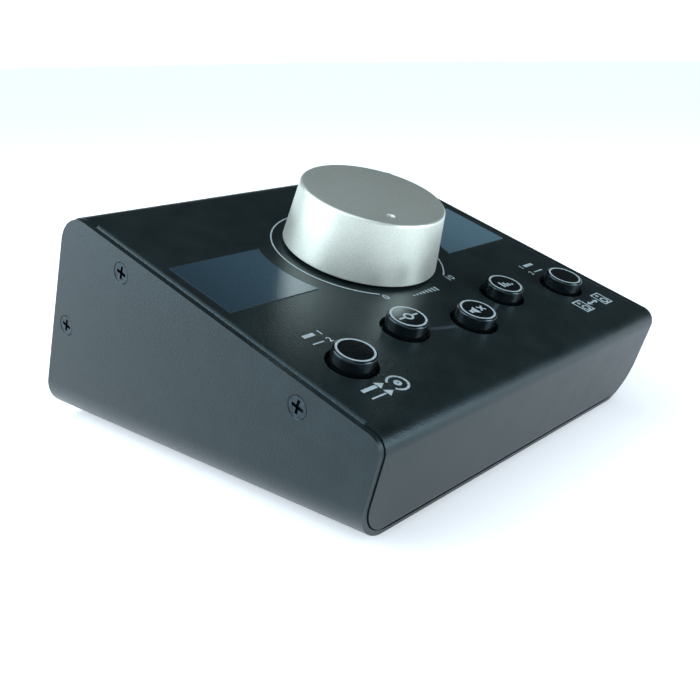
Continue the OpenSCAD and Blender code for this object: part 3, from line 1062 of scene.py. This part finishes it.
@dataclass
class CapPrint:
    """The ring on every cap, and the icon on the three middle ones.

    Attributes:
        ring_r_mm: radius at the middle of the ring's line.
        line_mm: width of the ring's line.
    """

    face: Face
    ring_r_mm: float = 5.3
    line_mm: float = 0.62

    def build(self) -> None:
        """Print every cap."""
        icons = {
            "source": self.plain,
            "mono": self.mono,
            "mute": self.mute,
            "dim": self.dim,
            "monitor": self.plain,
        }
        for name, icon in icons.items():
            ring = PRINTER.ring(self.ring_r_mm, self.line_mm)
            piece = join(f"{name}_cap_print", [ring, *icon()])
            low, high = self.face.reach(f"{name}_cap")
            at = (low + high) / 2
            at.z = high.z - 0.02 * MM
            finish_print(self.face.lay(piece, at), f"{name}_button", SCREEN_INK)

    def plain(self) -> list[bpy.types.Object]:
        """Return nothing: this cap has only its ring."""
        return []

    def mono(self) -> list[bpy.types.Object]:
        """Return two lines that run into one circle."""
        return [
            PRINTER.ring(1.35, 0.65),
            PRINTER.bar(2.2, 0.65, (-2.95, 0)),
            PRINTER.bar(2.2, 0.65, (2.95, 0)),
        ]

    def mute(self) -> list[bpy.types.Object]:
        """Return a loudspeaker with a cross beside it."""
        return [
            PRINTER.bar(1.2, 1.5, (-3.1, 0)),
            PRINTER.bar(1.7, 3.6, (-1.45, 0), taper=0.45),
            PRINTER.bar(3.2, 0.6, (1.75, 0), 45),
            PRINTER.bar(1.3, 0.6, (1.07, 0.68), -45),
            PRINTER.bar(1.3, 0.6, (2.43, -0.68), -45),
        ]

    def dim(self) -> list[bpy.types.Object]:
        """Return four bars, each lower than the one before."""
        return [
            PRINTER.bar(0.85, high, (-2.1 + 1.4 * i, (high - 3.2) / 2))
            for i, high in enumerate((3.2, 2.4, 1.6, 0.8))
        ]


@dataclass
class RearPrint:
    """Brackets, arrows and numbers by the pairs of jacks.

    Attributes:
        rise_mm: height of a bracket above its jacks' middle.
    """

    face: Face
    rise_mm: float = 8.6

    def build(self) -> None:
        """Print a bracket over each pair of jacks."""
        sockets = {
            mount["name"]: Vector(mount["pos_m"])
            for mount in frame["record"]["mounts"]
            if mount["kind"] == "bore"
        }
        turn = Matrix((self.face.across, self.face.up, self.face.out))
        parts = []
        for row, figures in (("lower", "12"), ("upper", "34")):
            for pair, figure in zip(("ab", "cd"), figures):
                ends = [
                    (turn @ (sockets[f"jack_{row}_{k}"] - self.face.origin)) / MM
                    for k in pair
                ]
                parts += self.bracket(ends, figure, inward=pair == "cd")
        piece = join("rear_print", parts)
        finish_print(
            self.face.lay(piece, Vector((0, 0, -0.02 * MM))), CASE, SCREEN_INK
        )

    def bracket(
        self, ends: list[Vector], figure: str, inward: bool
    ) -> list[bpy.types.Object]:
        """Print one bracket.

        Args:
            ends: the middles of its two jacks, in mm on the face.
            figure: the number of the pair.
            inward: whether its arrow points down, into the jacks.

        Returns:
            The lines, the arrow and the number.
        """
        x = (ends[0].x + ends[1].x) / 2
        y = ends[0].y + self.rise_mm
        half = abs(ends[0].x - ends[1].x) / 2
        parts = [
            PRINTER.number(figure, 2.0, (x - 1.6, y)),
            PRINTER.arrowhead(1.1, (x + 1.6, y), -90 if inward else 90),
        ]
        for side in (-1, 1):
            parts.append(
                PRINTER.bar(half - 4, 0.4, (x + side * (half + 4) / 2, y))
            )
            parts.append(
                PRINTER.bar(0.4, 1.4, (x + side * (half + 0.2), y - 0.5))
            )
        return parts


# ---------------------------------------------------------------- studio


@dataclass
class Studio:
    """The floor, the lights, the surroundings and the camera.

    Attributes:
        azimuth_deg: how far the camera stands round from the front.
        height_deg: how far it looks down.
        roll_deg: its tilt about the line of sight.
        eye_mm: its place from the middle of the CAD box's low front edge.
        lens_mm: focal length.
        sensor_mm: width of the sensor.
        dark_way: direction in which the ceiling is dark over a bright wall.
        wall_glow: strength of the low walls, away from dark_way and toward it.
        sky_glow: strength above them, away from dark_way and toward it.
        wall_top: span of the upward direction in which the walls fade out.
        light_tint: colour of the sun and the soft boxes.
        floor_gap_mm: air between the feet and the floor.
    """

    azimuth_deg: float = -47.68
    height_deg: float = 18.05
    roll_deg: float = -0.684453
    eye_mm: tuple[float, float, float] = (-220.255, -124.778, 119.971)
    lens_mm: float = 46.538
    sensor_mm: float = 36.0
    dark_way: tuple[float, float, float] = (0.703, 0.333, 0.628)
    wall_glow: tuple[float, float] = (0.7, 1.5)
    sky_glow: tuple[float, float] = (0.3, 0.05)
    wall_top: tuple[float, float] = (0.07, 0.16)
    light_tint: str = "#e8f6ff"
    floor_gap_mm: float = 0.2

    def build(self) -> None:
        """Set up everything around the object."""
        bpy.context.scene.view_settings.view_transform = "Standard"
        self.camera()
        self.floor()
        self.surroundings()
        self.lights()

    def camera(self) -> None:
        """Place the camera, its height and side taken from the CAD box."""
        az, el = math.radians(self.azimuth_deg), math.radians(self.height_deg)
        back = Vector(
            (
                math.sin(az) * math.cos(el),
                -math.cos(az) * math.cos(el),
                math.sin(el),
            )
        )
        level = Vector((math.cos(az), math.sin(az), 0))
        upright = back.cross(level)
        roll = math.radians(self.roll_deg)
        right = math.cos(roll) * level + math.sin(roll) * upright
        up = math.cos(roll) * upright - math.sin(roll) * level
        made = bpy.data.cameras.new("camera")
        made.sensor_width = self.sensor_mm
        made.lens = self.lens_mm
        made.clip_start, made.clip_end = 0.01, 50
        seat = bpy.data.objects.new("camera", made)
        bpy.context.scene.collection.objects.link(seat)
        turn = Matrix((right, up, back)).transposed().to_4x4()
        low, high = CAD_BOX
        x, y, z = (value * MM for value in self.eye_mm)
        middle = (low[0] + high[0]) / 2
        turn.translation = Vector((middle + x, low[1] + y, low[2] + z))
        seat.matrix_world = turn
        bpy.context.scene.camera = seat

    def floor(self) -> None:
        """Lay a wide pale floor under the feet."""
        bpy.ops.mesh.primitive_plane_add(size=24)
        floor = bpy.context.active_object
        floor.name = "floor"
        with editing(floor):
            bpy.ops.mesh.subdivide(number_cuts=3)
        floor.location.z = CAD_BOX[0][2] - self.floor_gap_mm * MM
        made = bpy.data.materials.new("painted_board_white")
        made.use_nodes = True
        made.node_tree.nodes.clear()
        surface = add_node(
            made.node_tree,
            "BsdfPrincipled",
            inputs={
                "Base Color": linear("#f4f6f7"),
                "Roughness": 0.85,
                "Specular IOR Level": 0.1,
                "Emission Color": linear("#f6f9ff"),
                "Emission Strength": 0.42,
            },
        )
        add_node(
            made.node_tree,
            "OutputMaterial",
            inputs={"Surface": surface.outputs["BSDF"]},
        )
        floor.data.materials.append(made)

    def surroundings(self) -> None:
        """Make a pale room with a dark stretch of ceiling, which the panel mirrors."""
        world = bpy.data.worlds.new("room")
        world.use_nodes = True
        tree = world.node_tree
        tree.nodes.clear()
        toward = add_node(tree, "TexCoord").outputs["Generated"]
        height = add_node(
            tree, "SeparateXYZ", inputs={"Vector": toward}
        ).outputs["Z"]
        facing = add_node(
            tree,
            "VectorMath",
            {"operation": "DOT_PRODUCT"},
            {0: toward, 1: self.dark_way},
        ).outputs["Value"]
        walls = self._fade(tree, facing, (-0.2, 0.2), self.wall_glow)
        low = self._fade(tree, height, self.wall_top, (1.0, 0.0))
        ring = add_node(
            tree, "Math", {"operation": "MULTIPLY"}, {0: walls, 1: low}
        ).outputs["Value"]
        sky = self._fade(tree, facing, (-0.1, 0.75), self.sky_glow)
        strength = add_node(
            tree, "Math", {"operation": "MAXIMUM"}, {0: ring, 1: sky}
        ).outputs["Value"]
        glow = add_node(
            tree,
            "Background",
            inputs={"Color": linear("#e4f5ff"), "Strength": strength},
        )
        add_node(tree, "OutputWorld", inputs={"Surface": glow.outputs["Background"]})
        bpy.context.scene.world = world

    @staticmethod
    def _fade(
        tree: bpy.types.NodeTree,
        value: bpy.types.NodeSocket,
        over: tuple[float, float],
        give: tuple[float, float],
    ) -> bpy.types.NodeSocket:
        """Fade smoothly from one number to another.

        Args:
            tree: the world's tree.
            value: what the fade follows.
            over: where the fade starts and ends.
            give: the numbers before and after it.

        Returns:
            The faded number.
        """
        return add_node(
            tree,
            "MapRange",
            {"interpolation_type": "SMOOTHSTEP"},
            {
                "Value": value,
                "From Min": over[0],
                "From Max": over[1],
                "To Min": give[0],
                "To Max": give[1],
            },
        ).outputs["Result"]

    def lights(self) -> None:
        """Hang one wide sun-like light and two soft boxes."""
        sun = bpy.data.lights.new("key", "SUN")
        sun.energy = 2.1
        sun.angle = math.radians(90)
        sun.color = linear(self.light_tint)[:3]
        self._hang(sun, Vector((-0.5, 0.1, 0.85)))
        for name, place, size, energy in (
            ("soft_box_left", (-0.64, 0.48, 0.40), (0.8, 1.0), 9.5),
            ("soft_box_front", (0.40, -0.88, 0.27), (0.5, 0.6), 8.0),
        ):
            box = bpy.data.lights.new(name, "AREA")
            box.shape = "RECTANGLE"
            box.size, box.size_y = size
            box.energy = energy
            box.color = linear(self.light_tint)[:3]
            self._hang(box, Vector(place))

    @staticmethod
    def _hang(light: bpy.types.Light, place: Vector) -> None:
        """Hang a light at a place, aimed at the object."""
        made = bpy.data.objects.new(light.name, light)
        bpy.context.scene.collection.objects.link(made)
        made.location = place
        made.rotation_euler = place.to_track_quat("Z", "Y").to_euler()


# ---------------------------------------------------------------- assembly


def panel_face() -> Face:
    """Return the sloping panel, its origin where the knob's axis leaves it."""
    turn = next(j for j in frame["joints"] if j["name"] == "volume_turn")
    out = Vector(turn["axis"]).normalized()
    axis_point = Vector(turn["pos_m"])
    level = min(v.co @ out for v in frame["nodes"]["left_inlay"].data.vertices)
    # the inlays lie on the panel, so their underside is at its outer skin
    origin = axis_point + out * (level - axis_point @ out)
    return Face(origin, Vector((1, 0, 0)), out)


def rear_face() -> Face:
    """Return the rear of the case, under the jacks' washers."""
    jack = next(m for m in frame["record"]["mounts"] if m["kind"] == "bore")
    out = Vector(jack["axis"]).normalized()
    level = min(v.co @ out for v in frame["nodes"]["jack_washers"].data.vertices)
    origin = Vector((0, jack["pos_m"][1], jack["pos_m"][2]))
    return Face(origin + out * (level - origin @ out), Vector((-1, 0, 0)), out)


def main() -> None:
    """Dress the CAD nodes, print the case and light it."""
    logging.basicConfig(level=logging.INFO, format="%(name)s: %(message)s")
    Hardware().dress()
    panel = panel_face()
    PanelPrint(panel).build()
    CapPrint(panel).build()
    RearPrint(rear_face()).build()
    Studio().build()


if __name__ == "__main__":
    main()
